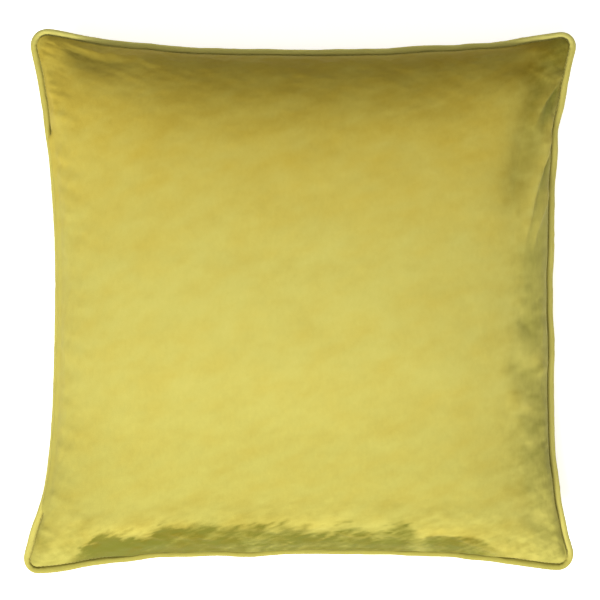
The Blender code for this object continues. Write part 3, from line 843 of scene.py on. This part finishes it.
def shoulder(grid):
    """Fills out the bottom of the face, so that it turns under more sharply than elsewhere."""
    away = seam_distances(grid)[0]
    along = smoothstep(-0.20, -0.16, grid[..., 0]) * smoothstep(-0.20, -0.15, -grid[..., 0])
    return along * 0.0035 * np.exp(-(((away - 0.026) / 0.013) ** 2))


# ---------------------------------------------------------------- cover: panels

FOLD_OVER = 0.0036  # how far the face reaches out over the piping along the zip
BELLY_OVER = 0.0017  # and along the bottom, where the face hangs over its piping


def reach_over(grid, share, push, seed):
    """Bellies rows out, from their first column, over the piping."""
    reached = np.cumsum(np.linalg.norm(np.diff(grid, axis=1), axis=2), axis=1)
    reached = np.hstack([np.zeros((len(grid), 1)), reached])
    wander = share[:, None] * (1 + 0.30 * lump(grid, 0.022, seed)) * (reached > 0)
    outward = wander * np.exp(-(((reached - 0.0048) / 0.0040) ** 2))
    out = grid + outward[..., None] * np.array(push)
    out[..., 2] += wander * 0.0016 * np.exp(-(((reached - 0.0030) / 0.0030) ** 2))
    return out


def fold_over_piping(grid):
    """The face's edge lies over the piping along the zip, and partly over it along the bottom."""
    beside_zip = zip_share(grid[:, 0, 1], 0.006)
    grid = reach_over(grid, beside_zip, (-FOLD_OVER, 0, 0), 51)
    x = grid[0, :, 0]
    along = smoothstep(-0.165, -0.125, x) * smoothstep(-0.195, -0.150, -x)
    turned = reach_over(grid.transpose(1, 0, 2), along, (0, -BELLY_OVER, 0), 53)
    return turned.transpose(1, 0, 2)


def drop_to_hem(grid):
    """Starts the back panel's rows at the zip's hem instead of at the seam."""
    out = grid.copy()
    shares = zip_share(grid[:, 0, 1])
    for row, share in enumerate(shares):
        if share <= 0:
            continue
        line = grid[row]
        reached = reach_along(line)
        depth = FOOT + (SLIT_DROP - FOOT) * share
        start = np.interp(depth, SEAM_Z - line[: len(line) // 3, 2], reached[: len(line) // 3])
        wanted = start + reached * (reached[-1] - start) / reached[-1]
        out[row] = np.stack([np.interp(wanted, reached, line[:, k]) for k in range(3)], axis=1)
    return out


def mottle_and_painted_light_at(grid, side):
    """Painted shade and highlight over random tone at each point, -0.5 dark to 0.5 light; and a
    painted tint.
    """
    bottom, right, top, _ = seam_distances(grid)
    x, y = grid[..., 0], grid[..., 1]
    slant = np.dstack([x + 0.36 * y, y * 1.6 - 0.5 * x, grid[..., 2]])
    spread = lump(slant, (0.034, 0.024, 0.03), 61 + side, 3)
    cloud = lump(slant, (0.013, 0.008, 0.02), 71 + side, 3)
    feather = lump(np.dstack([x + 0.4 * y, y - 0.4 * x, x * 0]), (0.012, 0.0022, 1), 75, 3)
    # Painted shade: a dark, ragged-edged band up the front panel's bottom wall, across most of its
    # width.
    long_wall = smoothstep(-0.196, -0.158, x + 0.010 * cloud) * smoothstep(-0.112, -0.080, -x)
    lens = smoothstep(0.084, 0.108, x) * smoothstep(-0.182, -0.135, -x)
    swell = 0.92 + 0.40 * lump(np.dstack([x, x * 0, x * 0]), (0.040, 1, 1), 77, 2)
    ragged = 0.0050 * cloud + 0.0035 * feather
    top_line = np.maximum((0.0205 * swell + ragged) * long_wall, (0.0150 + 0.3 * ragged) * lens)
    soft = 0.0050 - 0.0034 * lens
    under = smoothstep(soft, -soft, bottom - top_line) * np.maximum(long_wall, lens) ** 0.8
    patchy = 0.74 + 0.30 * feather + 0.34 * cloud + 0.34 * smoothstep(-0.100, -0.150, x)
    under *= np.clip(patchy, 0.30, 1.12) * (side > 0)
    # Painted shade along the top, lighter towards the top left, down the right side and low on the
    # face; a painted highlight on the bottom right ear.
    left_relief = 0.45 + 0.55 * smoothstep(-0.195, -0.070, x)
    painted_shade_top = smoothstep(0.086, 0.004, top + 0.007 * spread) * left_relief
    painted_shade_right = smoothstep(0.045, 0.004, right + 0.012 * spread)
    painted_shade_right *= smoothstep(-0.185, -0.130, y)
    painted_shade_low = smoothstep(0.150, 0.050, bottom) + 0.5 * smoothstep(0.045, 0.015, bottom)
    painted_highlight_ear = smoothstep(-0.130, -0.175, y) * smoothstep(0.150, 0.185, x)
    near_edge = smoothstep(0.055, 0.010, np.minimum(right, bottom))
    near_edge *= 1 - 0.75 * smoothstep(0.010, 0.060, y)
    mottle_and_painted_light = (0.016 + 0.06 * near_edge) * spread + (0.016 + 0.08 * near_edge) * cloud
    mottle_and_painted_light = mottle_and_painted_light - 0.40 * under - 0.27 * painted_shade_top - 0.14 * painted_shade_right
    mottle_and_painted_light = mottle_and_painted_light - 0.125 * painted_shade_low + 0.08 * painted_highlight_ear
    # Painted tint, greener low down, on the right wall and in the painted shade band, with a little
    # random mottle.
    mottle_and_painted_tint = 0.10 + 0.75 * smoothstep(0.170, 0.010, y) + 0.5 * smoothstep(0.030, 0.006, right)
    mottle_and_painted_tint = np.clip(np.maximum(mottle_and_painted_tint + 0.25 * spread, under), 0, 1)
    return mottle_and_painted_light, mottle_and_painted_tint


HEM_GAP = 2.6 * VELVET  # between the back panel and its turned hem, middle to middle


def hem_turn(grid, outward, distance):
    """The turned-in hem behind the left column: this far from its fold, along the panel."""
    out = np.empty((len(grid), 3))
    for row, (line, facing) in enumerate(zip(grid, outward)):
        reached = reach_along(line[:40])
        for axis in range(3):
            out[row, axis] = np.interp(distance, reached, line[:40, axis])
        across = np.array([np.interp(distance, reached, facing[:40, axis]) for axis in range(3)])
        out[row] -= across / max(1e-9, np.linalg.norm(across)) * HEM_GAP * min(1, distance / 0.0008)
    return out


def seam_turn(grid, side, hem):
    """The rows past a panel's edge: over the lip, then in by the seam allowance."""
    n = grid.shape[0]
    outward = normals(grid, side)
    rim = border(grid)
    edge = closed_edge(n - 1)
    share = hem * zip_share(rim[:, 1])
    share[: 3 * (n - 1)] = 0
    rows = []
    for in_by, height in ((0.0002, 0.60), (0.0007, 0.22), (0.0018, 0.0), (ALLOWANCE, 0.0)):
        level = LIP + (FOOT - LIP) * height
        ring = inset(edge, PANEL_INSET + in_by)
        sewn = np.column_stack([ring, np.full(len(ring), SEAM_Z + side * level)])
        turned = sewn.copy()
        turned[3 * (n - 1) :] = hem_turn(grid, outward, in_by)[:0:-1]
        rows.append(sewn * (1 - share[:, None]) + turned * share[:, None])
    return rows


def make_panel(name, side, node_name):
    grid = panel_shape(side)
    if side > 0:
        grid[..., 2] += shoulder(grid)
    lift = seam_puckers(grid, side) + fine_creases(grid, side)
    folded = np.zeros(lift.shape)
    if side > 0:
        folded = sum(fold_height(grid[..., :2] * FOLD_PARALLAX, fold) for fold in FRONT_FOLDS)
        folded *= smoothstep(-0.0010, 0.0034, np.minimum.reduce(seam_distances(grid)))
    lift += folded
    inside = np.zeros(grid.shape[:2])
    inside[1:-1, 1:-1] = 1
    grid = grid + normals(grid, side) * (lift * inside)[..., None]
    mottle_and_painted_light, mottle_and_painted_tint = mottle_and_painted_light_at(grid, side)
    # Painted highlight along the fold ridges, and painted shade with a greener painted tint in the
    # furrows.
    mottle_and_painted_light += np.clip(60 * folded, -0.12, 0.17)
    mottle_and_painted_tint = np.clip(mottle_and_painted_tint + np.clip(-120 * folded, -0.15, 0.40), 0, 1)
    if side > 0:
        grid = fold_over_piping(grid)
    else:
        grid = drop_to_hem(grid)
        grid[..., 2] = np.maximum(grid[..., 2], 0)
    n = grid.shape[0]
    rows = seam_turn(grid, side, hem=side < 0)
    number = np.arange(n * n).reshape(n, n)
    ring = border(number)
    faces = grid_faces(n, n, flip=side < 0)
    points = [grid.reshape(-1, 3)]
    count = n * n
    for row in rows:
        following = np.arange(count, count + len(ring))
        for a, b, c, d in zip(ring, np.roll(ring, -1), np.roll(following, -1), following):
            quad = [int(a), int(d), int(c), int(b)]
            faces.append(quad if side > 0 else quad[::-1])
        points.append(row)
        ring, count = following, count + len(ring)
    points = np.vstack(points)
    obj = new_mesh(name, sway(points), faces, VELVET_LOOK)
    for title, values in (("mottle_and_painted_light", mottle_and_painted_light), ("mottle_and_painted_tint", mottle_and_painted_tint)):
        add_layer(obj, title, np.concatenate([values.ravel(), *([border(values)] * len(rows))]))
    thicken(obj, VELVET, -1)
    dress(obj, "cushion", "velvet", node_name)
    return grid


# ---------------------------------------------------------------- piping

PIPING_STEPS = 420  # rings along one side
STRIP_JOIN = (0.1740, 0.2100)  # where the strip's two ends are joined, near the top right corner


def strip_section():
    """The strip's section: round the cord, and back as two flat layers with a slit between."""
    outer, inner = PIPING_D / 2, PIPING_D / 2 - STRIP_THICKNESS
    half = STRIP_THICKNESS + CLEARANCE / 2
    slit = CLEARANCE / 2
    end = PANEL_INSET + ALLOWANCE - PIPING_D / 2
    start, inner_start = math.asin(half / outer), math.asin(slit / inner)
    angles = np.linspace(start, 2 * math.pi - start, 21)
    inner_angles = np.linspace(2 * math.pi - inner_start, inner_start, 13)
    middle = (end + outer) / 2
    points = [(end, half), (middle, half)]
    points += [(outer * math.cos(a), outer * math.sin(a)) for a in angles]
    points += [(middle, -half), (end, -half), (end, -slit)]
    points += [(inner * math.cos(a), inner * math.sin(a)) for a in inner_angles]
    points += [(end, slit)]
    return np.array(points), (2, 2 + len(angles))


def make_piping():
    """The bias strip, drawn tight round its cord, with a nip at every stitch and one join."""
    edge = closed_edge(PIPING_STEPS, 0.25)
    centre = inset(edge, PIPING_D / 2)
    along = np.roll(centre, -1, axis=0) - np.roll(centre, 1, axis=0)
    along /= np.linalg.norm(along, axis=1)[:, None]
    inward = np.stack([-along[:, 1], along[:, 0]], axis=1)
    reached = reach_along(centre)
    section, (first, last) = strip_section()
    x = np.broadcast_to(section[:, 0], (len(centre), len(section))).copy()
    z = np.broadcast_to(section[:, 1], x.shape).copy()
    angle = np.arctan2(z, x)
    around = np.zeros(len(section))
    around[first:last] = 1
    bias = np.dstack([
        np.broadcast_to((reached[:, None] + 0.004 * angle), x.shape),
        np.cos(angle) * 0.01, np.sin(angle) * 0.01,
    ])
    slack = lump(bias, (0.011, 0.006, 0.006), 81, 3) * 0.00026
    cornering = smoothstep(0.040, 0.016, np.linalg.norm(centre[:, None] - TIPS, axis=2).min(1))
    gathers = np.sin(2 * math.pi * reached / 0.0046 + 1.5 * lump(bias[:, 0], 0.02, 83))
    slack += (0.00020 * cornering * gathers)[:, None] * np.cos(angle).clip(0)
    nips = np.sin(math.pi * reached / STITCH_PITCH)[:, None] ** 8 * np.cos(angle).clip(0) ** 3
    from_join = np.linalg.norm(centre - np.array(STRIP_JOIN), axis=1)[:, None] + 0.003 * angle
    join = np.exp(-((from_join / 0.0016) ** 2)) * 0.00030
    swell = (slack - 0.00030 * nips + join) * around
    radius = np.hypot(x, z)
    x = x * (1 + swell / radius)
    z = z * (1 + swell / radius)
    points = np.empty((*x.shape, 3))
    points[..., :2] = centre[:, None] + inward[:, None] * x[..., None]
    points[..., 2] = SEAM_Z + z
    faces = grid_faces(*x.shape, close_rows=True, close_columns=True)
    obj = new_mesh("piping_bias_strip", sway(points), faces, PIPING_LOOK)
    facing = np.broadcast_to(inward[:, None], (*x.shape, 2))
    # Painted shade on the piping along the bottom side, painted highlight along the top and faintly
    # the right; painted tint all round.
    add_layer(obj, "mottle_and_painted_light", -0.24 * facing[..., 1].clip(0) + 0.20 * (-facing[..., 1]).clip(0)
              + 0.06 * (-facing[..., 0]).clip(0))
    add_layer(obj, "mottle_and_painted_tint", np.full(x.shape, 0.9))
    dress(obj, "cushion", "velvet", "piping_cover")


def make_piping_cord():
    """Three cotton strands twisted together."""
    centre = inset(closed_edge(220, 0.0), PIPING_D / 2)
    reached = reach_along(centre)
    turns = round(reached[-1] / 0.012)
    sides = 12
    spin = 2 * math.pi * turns * np.arange(len(centre)) / len(centre)
    around = np.arange(sides) * 2 * math.pi / sides
    lay = np.cos(3 * (around[None] - spin[:, None]))
    path = np.column_stack([centre, np.full(len(centre), SEAM_Z)])
    rings = tube_rings(path, CORD_D / 2 * (0.94 + 0.06 * lay), sides, closed=True)
    faces = grid_faces(len(centre), sides, close_rows=True, close_columns=True)
    cord = new_mesh("piping_cord_twist", sway(rings), faces, CORD_LOOK)
    dress(cord, "cushion", "cotton_cord", "piping_cord")


STITCH_PITCH = 0.0030
THREAD_D = 0.0005


def make_seam_stitches():
    """The stitches that close the groove between the face and its piping."""
    ring = inset(closed_edge(200, 0.0), PANEL_INSET - 0.0001)
    lines = []
    closed = np.vstack([ring, ring[:1]])
    count = int(reach_along(closed)[-1] / STITCH_PITCH)
    steps = np.linspace(-0.36, 0.36, 5)
    for index in range(count):
        spots = by_length(closed, (index + 0.5 + steps) / count)
        arch = 0.00018 * (1 - (steps / 0.36) ** 2)
        lines.append(sway(np.column_stack([spots, SEAM_Z + LIP + 0.0006 + arch])))
    stitches = rods("seam_stitches", lines, THREAD_D / 2, 6, THREAD_LOOK)
    dress(stitches, "cushion", "thread", "seam_thread")


# ---------------------------------------------------------------- pad

PAD_CELLS = 96


def surface_under(grid):
    """A search tree over a grid of points, for finding where a ray meets it."""
    rows, columns = grid.shape[:2]
    return BVHTree.FromPolygons(grid.reshape(-1, 3).tolist(), grid_faces(rows, columns))


def pad_grid(cover_grid, side, margin, gap):
    """A dome just inside the cover, with gathers at the pad's own seam."""
    fractions = spacing(PAD_CELLS)
    plan = patch(inset(closed_edge(PAD_CELLS, reach=PAD_CORNER_REACH), margin), fractions)
    crown = FRONT_CROWN if side > 0 else BACK_CROWN
    height = 0.0004 + (crown - gap) * rise(fractions)
    grid = np.dstack([plan, height])
    edge = np.minimum.reduce(seam_distances(grid))
    gathers = lump(grid, (0.013, 0.013, 0.05), 91 + side, 2) * np.exp(-((edge / 0.030) ** 2))
    creases = lump(grid, (0.045, 0.038, 0.05), 93 + side, 3)
    height += (gathers * 0.0016 + creases * 0.0018) * smoothstep(0.001, 0.012, edge)
    cover = surface_under(cover_grid)
    top = np.empty(height.shape)
    for spot in np.ndindex(height.shape):
        start = Vector((plan[spot][0], plan[spot][1], SEAM_Z))
        hit = cover.ray_cast(start, Vector((0, 0, side)))[0]
        top[spot] = abs(hit.z - SEAM_Z) - gap if hit else height[spot]
    grid[..., 2] = SEAM_Z + side * np.clip(height, 0.0004, np.maximum(0.0004, top))
    return grid


def make_pad(cover_grids):
    """The casing's two sheets and the fibre filling inside them."""
    for side, cover_grid in zip((1, -1), cover_grids):
        name = "pad_casing_front" if side > 0 else "pad_casing_back"
        grid = pad_grid(cover_grid, side, PAD_INSET, VELVET + PAD_SLACK)
        n = len(grid)
        sheet = new_mesh(name + "_sheet", grid, grid_faces(n, n, flip=side < 0), CASING_LOOK)
        thicken(sheet, CASING * 0.8, -1)
        dress(sheet, "cushion", "pad_casing", name)
    gap = VELVET + PAD_SLACK + 4 * CASING
    margin = PAD_INSET + 6 * CASING
    over, under = (
        pad_grid(cover_grid, side, margin, gap) for side, cover_grid in zip((1, -1), cover_grids)
    )
    middle = np.zeros(over.shape[:2], bool)
    middle[1:-1, 1:-1] = True
    over[~middle, 2] = SEAM_Z
    n = len(over)
    lower = np.arange(n * n).reshape(n, n)
    lower[middle] = n * n + np.arange(middle.sum())
    quads = [lower[:-1, :-1], lower[1:, :-1], lower[1:, 1:], lower[:-1, 1:]]
    faces = grid_faces(n, n) + np.stack(quads, axis=-1).reshape(-1, 4).tolist()
    points = np.vstack([over.reshape(-1, 3), under[middle]])
    fibre = new_mesh("pad_fibre_filling", points, faces, FIBRE_LOOK)
    dress(fibre, "cushion", "pad_fibre", "pad_filling")


def make_pad_stitches():
    """Slanting whip stitches that close the pad, along part of its bottom side."""
    ring = inset(closed_edge(200, reach=PAD_CORNER_REACH), PAD_INSET - THREAD_D / 2 - 2 * CLEARANCE)
    lines = []
    for spot, ahead in zip(*(along_ring(ring, a, a + 0.150, 0.0040) for a in (0.0500, 0.0510))):
        steps = np.linspace(-1, 1, 5)[:, None]
        level = SEAM_Z + 0.0007 * steps
        lines.append(np.hstack([spot + (ahead - spot) * (steps + 1) / 2, level]))
    stitches = rods("pad_closing_stitches", lines, THREAD_D / 2, 6, WHITE_THREAD_LOOK)
    dress(stitches, "cushion", "thread", "pad_closing_stitch")


LABEL_THICKNESS = 0.0003
LABEL_GAP = 0.0011  # between the label and the velvet that it lies on


def make_label(back_grid):
    """A blank satin label in the bottom seam, lying inside the back panel with its end curled."""
    low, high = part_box("care_label")
    cover = surface_under(back_grid)
    across = np.linspace(low.x, high.x, 25)
    levels = np.linspace(high.z, low.z, 13)
    points = []
    for row, level in enumerate(levels):
        for x in across:
            hit, normal = cover.ray_cast(Vector((x, -0.30, level)), Vector((0, 1, 0)))[:2]
            away = Vector((0, 1, 0)) if normal is None else (normal if normal.y > 0 else -normal)
            curl = 0.0009 * (row / 12) ** 3 + 0.00025 * math.sin(160 * x + row * 0.4)
            points.append(tuple(hit + away * (VELVET + LABEL_GAP + curl)))
    points = sway(points)
    label = new_mesh("care_label_blank", points, grid_faces(13, 25), LABEL_LOOK)
    thicken(label, LABEL_THICKNESS, 0)
    dress(label, "cushion", "label_satin", "care_label")


# ---------------------------------------------------------------- zip

ZIP_X = -0.1942  # plane of the tapes
ZIP_Z = SEAM_Z - 0.0080  # centre line of the teeth
TAPE_THICKNESS = 0.0006
TAPE_SPARE = 0.0060  # the tapes run on past the opening, into the seams at its ends
COIL_PITCH = 0.0012
COIL_WIRE = 0.00044


def make_tapes():
    """Woven tapes: the upper turns in under the piping, the lower runs down behind the hem."""
    for row, bends in (
        ("upper", [(0.0, 0.0011), (0.0, 0.00625), (0.0040, 0.00625)]),
        ("lower", [(0.0, -0.0011), (0.0, -0.0044), (0.0062, -0.0062), (0.0100, -0.0114)]),
    ):
        section = by_length(bends, np.linspace(0, 1, 15))
        runs = np.linspace(ZIP_BOTTOM - TAPE_SPARE, ZIP_TOP + TAPE_SPARE, 301)
        points = np.empty((len(runs), len(section), 3))
        points[..., 0] = ZIP_X + section[:, 0]
        points[..., 1] = runs[:, None]
        low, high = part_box("zip_teeth_" + row)
        beyond = np.maximum(low.y - runs, runs - high.y - 0.008)  # the slider is above the teeth
        beside = smoothstep(0.0040, 0.0011, abs(section[:, 1]))
        closing = smoothstep(0.0012, 0.0042, beyond)[:, None] * beside
        points[..., 2] = ZIP_Z + section[:, 1] - np.sign(section[:, 1]) * 0.0009 * closing
        points[..., 0] += lump(points, (0.02, 0.011, 0.006), 101) * 0.00012
        piece = f"zip_tape_{row}_woven"
        tape = new_mesh(piece, points, grid_faces(*points.shape[:2]), TAPE_LOOK)
        thicken(tape, TAPE_THICKNESS, 0)
        dress(tape, "cushion", "zip_tape", "zip_tape_" + row)


def make_coils():
    """Two nylon coils whose loops lie between each other's, stitched to the tapes."""
    for name, side in (("zip_teeth_upper", 1), ("zip_teeth_lower", -1)):
        low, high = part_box(name)
        half = COIL_WIRE / 2
        spine = 0.0026 - half
        tip = -0.0010 + half
        depth = (high.x - low.x) / 2 - half
        middle = (high.x + low.x) / 2
        count = int((high.y - low.y - COIL_WIRE) / COIL_PITCH) - 1
        turn = np.arange(count * 12 + 1) / 12
        part = turn % 1.0
        angle = 2 * math.pi * part
        hurry = smoothstep(0.80, 1.0, part) + smoothstep(0.0, 0.20, part) - 1
        step = np.floor(turn) + 0.5 * hurry
        reach = (spine + tip) / 2 + (spine - tip) / 2 * np.cos(angle)
        path = np.column_stack([
            middle + depth * np.sin(angle),
            low.y + half + COIL_PITCH * (0.75 + 0.25 * side + step),
            ZIP_Z + side * reach,
        ])
        rings = tube_rings(path, np.full(len(path), half), 6)
        faces = grid_faces(len(path), 6, close_columns=True)
        coil = new_mesh(name + "_coil", rings, faces, NYLON_LOOK)
        dress(coil, "cushion", "zip_teeth", name)


def make_tacks():
    """A bar of stitches across both tapes beyond each end of the teeth."""
    for name in ("zip_end_tack_top", "zip_end_tack_bottom"):
        low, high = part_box(name)
        lines = []
        for k in range(4):
            y = low.y + (high.y - low.y) * (k + 0.5) / 4
            ends = np.linspace(low.z + 0.0004, high.z - 0.0004, 7)
            lines.append(np.column_stack([np.full(7, low.x + 0.0006), np.full(7, y), ends]))
        wraps = 22
        for k in range(wraps):
            z = low.z + 0.0005 + (high.z - low.z - 0.0010) * k / (wraps - 1)
            across = np.linspace(low.y, high.y, 7)
            bulge = 0.00028 * np.sin(np.linspace(0, math.pi, 7))
            lines.append(np.column_stack([low.x + 0.0004 - bulge, across, np.full(7, z)]))
        made = rods(name + "_threads", lines, 0.00017, 6, THREAD_LOOK)
        dress(made, "cushion", "thread", name)


def make_hem_stitches(back_grid):
    """Separate stitches through the back panel's hem into the lower tape."""
    low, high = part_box("zip_hem_stitch")
    cover = surface_under(back_grid)
    lines = []
    for start in np.arange(low.y + 0.001, high.y - 0.004, 0.0032):
        line = []
        for share in np.linspace(0, 1, 5):
            spot = Vector((-0.30, start + 0.0024 * share, SEAM_Z - SLIT_DROP - 0.0035))
            hit, normal = cover.ray_cast(spot, Vector((1, 0, 0)))[:2]
            outward = normal if normal.x < 0 else -normal
            line.append(hit + outward * (0.00012 + 0.00024 * math.sin(math.pi * share)))
        lines.append(sway([tuple(p) for p in line]))
    stitches = rods("zip_hem_stitches", lines, THREAD_D / 2, 6, THREAD_LOOK)
    dress(stitches, "cushion", "thread", "zip_hem_stitch")


def finish_zip_parts():
    """Bevels and finishes on the zip's hard pieces, which stay as they are in the frame."""
    for name, look, slot, width in (
        ("zip_top_stop_upper", NYLON_LOOK, "zip_teeth", 0.00035),
        ("zip_top_stop_lower", NYLON_LOOK, "zip_teeth", 0.00035),
        ("zip_bottom_stop", NYLON_LOOK, "zip_teeth", 0.00050),
        ("zip_slider", METAL_LOOK, "slider_metal", 0.00022),
        ("zip_pull_tab", METAL_LOOK, "slider_metal", 0.00028),
    ):
        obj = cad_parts[name]
        obj.data.materials.clear()
        obj.data.materials.append(look)
        obj.modifiers.new("joined_faces", "WELD").merge_threshold = 0.00001
        bevel = obj.modifiers.new("worn_edges", "BEVEL")
        bevel.width = width
        bevel.segments = 3
        bevel.limit_method = "ANGLE"
        bevel.angle_limit = math.radians(35)


# ---------------------------------------------------------------- the order of making

make_camera()
make_stage()
front_grid = make_panel("cover_front", 1, "front_panel")
back_grid = make_panel("cover_back", -1, "back_panel")
make_piping()
make_piping_cord()
make_seam_stitches()
make_pad((front_grid, back_grid))
make_pad_stitches()
make_label(back_grid)
make_tapes()
make_coils()
make_tacks()
make_hem_stitches(back_grid)
finish_zip_parts()
